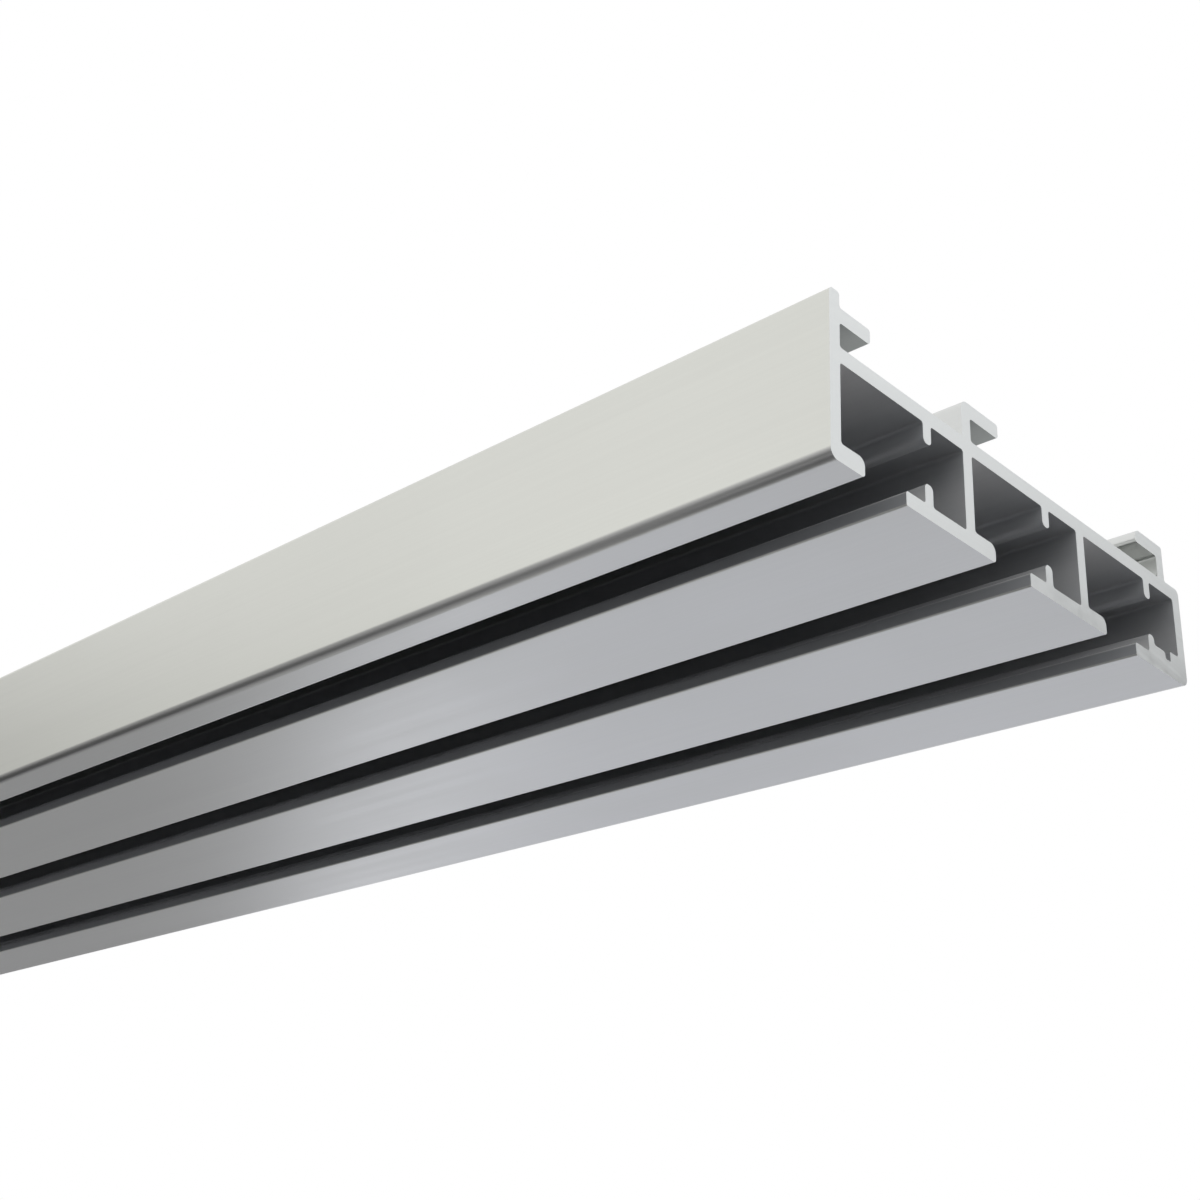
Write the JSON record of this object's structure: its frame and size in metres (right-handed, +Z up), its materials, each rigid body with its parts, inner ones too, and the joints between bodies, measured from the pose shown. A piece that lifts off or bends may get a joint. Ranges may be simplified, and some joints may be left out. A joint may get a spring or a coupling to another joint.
{
  "type": "curtain track",
  "caption": "Straight multi-channel curtain track extruded from aluminium, with a flat fascia, glider slots underneath and hooks on top for ceiling clips.",
  "frame": {"origin": "middle of the length and of the width, on the underside of the flanges", "axes": "+X along the track, +Y from the fascia to the rear wall, +Z up towards the ceiling"},
  "size_m": [0.6, 0.06, 0.0163],
  "materials": {
    "anodised_aluminium": "satin natural anodised, with fine lengthwise die lines and sawn ends"
  },
  "bodies": {
    "root": {"track_profile": "anodised_aluminium"}
  },
  "joints": []
}
